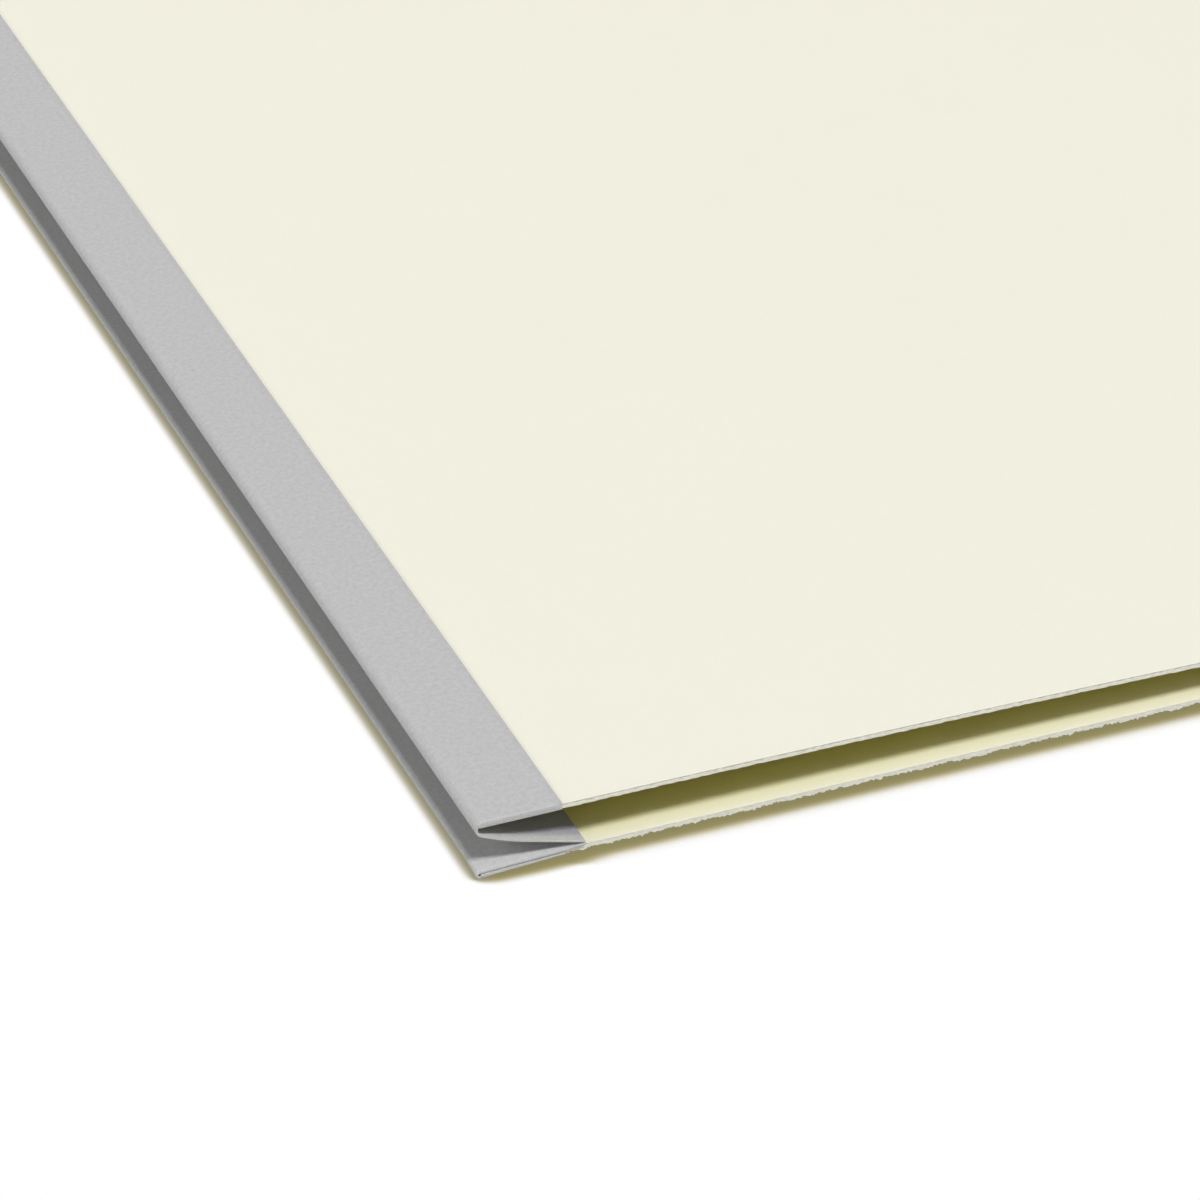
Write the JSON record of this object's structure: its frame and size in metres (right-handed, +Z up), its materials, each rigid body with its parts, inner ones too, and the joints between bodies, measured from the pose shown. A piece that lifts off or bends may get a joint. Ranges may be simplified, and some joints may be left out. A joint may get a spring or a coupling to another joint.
{
  "type": "pressboard folder",
  "caption": "Closed pressboard folder with ivory covers, a straight fore-edge tab and an expanding spine of folded gray gusset tape.",
  "frame": {"origin": "middle of the closed folder's footprint, on the surface that it lies on", "axes": "+Y along the spine, +X from the spine to the fore edge, +Z up through the covers"},
  "size_m": [0.242, 0.2992, 0.008],
  "materials": {
    "pressboard": "matte calendered pressboard, ivory, with a raw cut edge",
    "gusset_tape": "matte gray cloth tape with a fine weave"
  },
  "bodies": {
    "back": {"back_cover": "pressboard", "back_flap": "gusset_tape", "lower_fold": "gusset_tape"},
    "lower_gusset": {"lower_leaf": "gusset_tape"},
    "upper_gusset": {"upper_leaf": "gusset_tape", "upper_fold": "gusset_tape"},
    "front": {"front_flap": "gusset_tape", "front_cover": "pressboard"}
  },
  "joints": [
    {"name": "gusset_expansion", "type": "hinge", "parent": "back", "child": "lower_gusset", "pos_m": [-0.12033, 0, 0.00129], "axis": [0, -1, 0], "range_deg": [0, 90]},
    {"name": "centre_crease", "type": "hinge", "parent": "lower_gusset", "child": "upper_gusset", "pos_m": [-0.10653, 0, 0.00131], "axis": [0, 1, 0], "range_deg": [0, 90]},
    {"name": "cover_opening", "type": "hinge", "parent": "upper_gusset", "child": "front", "pos_m": [-0.12091, 0, 0.00677], "axis": [0, -1, 0], "range_deg": [0, 180]}
  ],
  "couplings": [
    {"joint": "centre_crease", "follows": "gusset_expansion", "ratio": 1}
  ]
}
